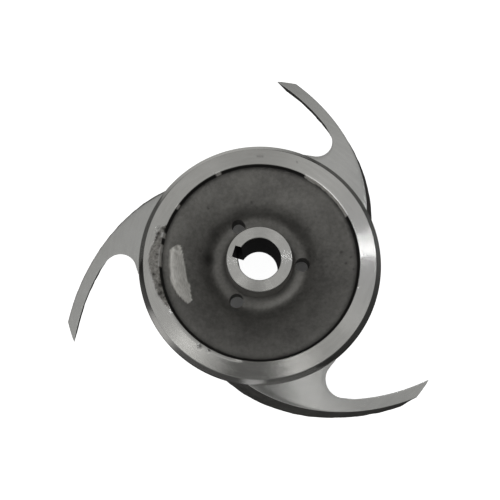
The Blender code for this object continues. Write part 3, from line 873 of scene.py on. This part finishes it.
def make_vane(index):
    """Turn the grid by a third, add its own skin where it is as cast, and close both ends with a fan."""
    skin = 0.00016 * skin_waves(vane_grid, 0.012, 20 + index) + 0.00006 * skin_waves(vane_grid, 0.004, 30 + index)
    machined = np.maximum(smooth_step(VANE_BACK - 0.0014, VANE_BACK - 0.0006, vane_grid[..., 2]),
                          smooth_step(TIP_RADIUS - 0.0025, TIP_RADIUS - 0.0015, np.linalg.norm(vane_grid[..., :2], axis=2)))
    grid = vane_grid + grid_normals(vane_grid) * (skin * (1.0 - machined))[..., None]
    turn = index * THIRD
    spin = np.array([[np.cos(turn), -np.sin(turn), 0.0], [np.sin(turn), np.cos(turn), 0.0], [0.0, 0.0, 1.0]])
    grid = grid @ spin.T
    rows, columns = grid.shape[:2]
    faces = [list(face) for face in grid_faces(rows, columns, False)]
    ends = np.array([grid[0].mean(axis=0), grid[-1].mean(axis=0)])
    around = np.arange(columns)
    first, last = rows * columns, rows * columns + 1
    fan_in = np.stack([np.full(columns, first), around, (around + 1) % columns], axis=1)
    fan_out = np.stack([np.full(columns, last), (rows - 1) * columns + (around + 1) % columns, (rows - 1) * columns + around], axis=1)
    faces += fan_in.tolist() + fan_out.tolist()
    points = np.concatenate([grid.reshape(-1, 3), ends])
    corner_z = [np.mean([points[corner, 2] for corner in face]) for face in faces]
    slots = (np.array(corner_z) > VANE_BACK - 0.0002).astype(int)
    return make_piece("vane_%d" % (index + 1), points, faces, [shaded_wall_skin, back_steel], slots)


vanes = [make_vane(index) for index in range(3)]
for vane in vanes:
    vane.data.shade_smooth()
    vane.data.set_sharp_from_angle(angle=np.radians(38.0))

# %% [markdown]
# ## The bench and the light
#
# The casting lies on a plain white bench, whose glow drops in a ring under the
# disc as a painted shadow. Polished metal shows its surroundings, so the sky is
# built like a studio: a wide soft ceiling, a low glow behind, three small lamps,
# and the darker place where the photographer stands. Each is a smooth round spot
# on the sky, strongest in one direction.

# %% Bench
def make_bench():
    """A wide floor under the nose, bright enough to read as white paper, with a painted shadow under the disc where its
    glow drops.
    """
    mesh = bpy.data.meshes.new("bench")
    mesh.from_pydata([(-6, -6, 0), (6, -6, 0), (6, 6, 0), (-6, 6, 0)], [], [(0, 1, 2, 3)])
    material, tree, shader = new_material("white_bench")
    feed(tree, shader, Base_Color=(0.82, 0.82, 0.82, 1.0), Roughness=0.9)
    place, radius, angle, outward, height = shaft_coordinates(tree)
    # Painted shadow: the floor's glow drops from 0.95 to 0.02 in a ring under the disc, outside the bore.
    under = calculate(tree, "MULTIPLY", stretch(tree, radius, 0.0345, 0.0360, 0.0, 1.0), stretch(tree, radius, 0.085, 0.118, 1.0, 0.0))
    feed(tree, shader, Emission_Color=(1.0, 1.0, 1.0, 1.0), Emission_Strength=stretch(tree, under, 0.0, 1.0, 0.95, 0.02))
    mesh.materials.append(material)
    bench = bpy.data.objects.new("bench", mesh)
    bpy.context.scene.collection.objects.link(bench)
    bench.visible_diffuse = bench.visible_glossy = False
    return bench


make_bench()

# %% Sky of soft spots
SOFT_SPOTS = {  # direction, radius, edge, strength, tint
    "ceiling": ((0.0, 0.08, 1.0), 0.85, 1, 0.49, (1.0, 1.0, 0.975)),
    "front_window": ((-0.20, -0.70, 0.68), 0.60, 1, 0.30, (1.0, 1.0, 0.98)),
    "left_window": ((-0.76, -0.54, 0.36), 0.32, 1, 0.90, (1.0, 1.0, 1.0)),
    "low_glow_behind": ((-0.24, 0.83, -0.50), 0.52, 2, 0.50, (1.0, 1.0, 0.97)),
    "low_glow_left": ((-0.85, -0.44, -0.28), 0.20, 2, 0.60, (1.0, 0.99, 0.97)),
    "low_glow_front": ((-0.05, -0.976, -0.21), 0.11, 3, 0.62, (1.0, 1.0, 1.0)),
    "low_glow_far_left": ((-0.93, 0.08, -0.34), 0.26, 1, 0.20, (1.0, 0.99, 0.96)),
    "low_glow_right": ((0.90, 0.32, -0.38), 0.30, 1, 0.10, (1.0, 1.0, 1.0)),
    "behind_right": ((0.133, 0.369, 0.920), 0.11, 1, 0.22, (1.0, 1.0, 0.98)),
    "behind_left": ((-0.110, 0.375, 0.920), 0.10, 1, 0.10, (1.0, 1.0, 0.98)),
    "cool_right": ((0.238, 0.199, 0.951), 0.11, 1, 0.10, (0.75, 0.80, 1.15)),
}
DARK_SPOTS = [  # the photographer, from overhead down the near side: direction, radius, edge, how dark
    ((-0.008, 0.030, 1.0), 0.045, 3, 0.70), ((-0.016, -0.055, 1.0), 0.082, 4, 0.90), ((-0.020, -0.150, 0.99), 0.100, 4, 0.90),
    ((-0.024, -0.26, 0.97), 0.120, 3, 0.80), ((0.0065, 0.44, 0.90), 0.12, 1, 0.25), ((0.18, -0.13, 0.97), 0.10, 1, 0.32), ((0.13, 0.0, 0.99), 0.05, 1, 0.18),
]
LAMPS = {  # small and crisp: direction, radius, edge, strength, tint
    "right_lamp": ((0.238, 0.199, 0.951), 0.022, 4, 13.0, (0.98, 0.99, 1.0)),
    "left_lamp": ((-0.143, -0.001, 0.989), 0.040, 2, 1.35, (1.0, 0.99, 0.97)),
    "front_lamp": ((0.090, -0.045, 0.995), 0.022, 4, 2.4, (1.0, 1.0, 0.98)),
    "front_lamp_low": ((0.118, -0.140, 0.983), 0.032, 4, 1.5, (1.0, 1.0, 0.98)),
    "side_lamp": ((0.201, 0.049, 0.978), 0.030, 3, 0.55, (1.0, 1.0, 1.0)),
}
SKY_FLOOR = 0.03


def spot(tree, heading, direction, radius, edge):
    """Bell curve of the angle to the direction; a higher edge power makes its rim crisper."""
    unit = tuple(float(value) for value in np.array(direction) / np.linalg.norm(direction))
    cosine = add_node(tree, "VectorMath", {0: heading, 1: unit}, output="Value", operation="DOT_PRODUCT")
    away = calculate(tree, "MULTIPLY", calculate(tree, "SUBTRACT", 1.0, cosine), 2.0 / radius**2)
    return calculate(tree, "EXPONENT", calculate(tree, "MULTIPLY", calculate(tree, "POWER", away, float(edge)), -1.0))


def add_spots(tree, heading, total, spots):
    """Add each spot's colour to the sky so far."""
    for direction, radius, edge, strength, tint in spots.values():
        glow = add_node(tree, "VectorMath", {0: tuple(strength * value for value in tint), "Scale": spot(tree, heading, direction, radius, edge)}, operation="SCALE")
        total = add_node(tree, "VectorMath", {0: total, 1: glow}, operation="ADD")
    return total


def make_sky():
    """Soft spots first, then the dark ones as shares, then the lamps on top."""
    world = bpy.data.worlds.new("studio_sky")
    world.use_nodes = True
    tree = world.node_tree
    heading = add_node(tree, "TexCoord", output="Generated")
    total = add_node(tree, "CombineXYZ", {0: SKY_FLOOR, 1: SKY_FLOOR, 2: SKY_FLOOR})
    total = add_spots(tree, heading, total, SOFT_SPOTS)
    for direction, radius, edge, share in DARK_SPOTS:
        shade = calculate(tree, "SUBTRACT", 1.0, calculate(tree, "MULTIPLY", spot(tree, heading, direction, radius, edge), share))
        total = add_node(tree, "VectorMath", {0: total, "Scale": shade}, operation="SCALE")
    total = add_spots(tree, heading, total, LAMPS)
    tree.links.new(total, tree.nodes["Background"].inputs["Color"])
    bpy.context.scene.world = world
    print("sky of", len(SOFT_SPOTS), "soft spots and", len(LAMPS), "lamps")


make_sky()
bpy.context.scene.view_settings.view_transform = "Standard"

# %% [markdown]
# ## Put the pieces in the casting's place
#
# The casting is one part without joints, so all pieces ride on the root and
# together stand for the one packed casting, which they hide.

# %% Ride and replace
for piece in [disc] + vanes:
    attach(piece, "root")
    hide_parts("impeller_casting")
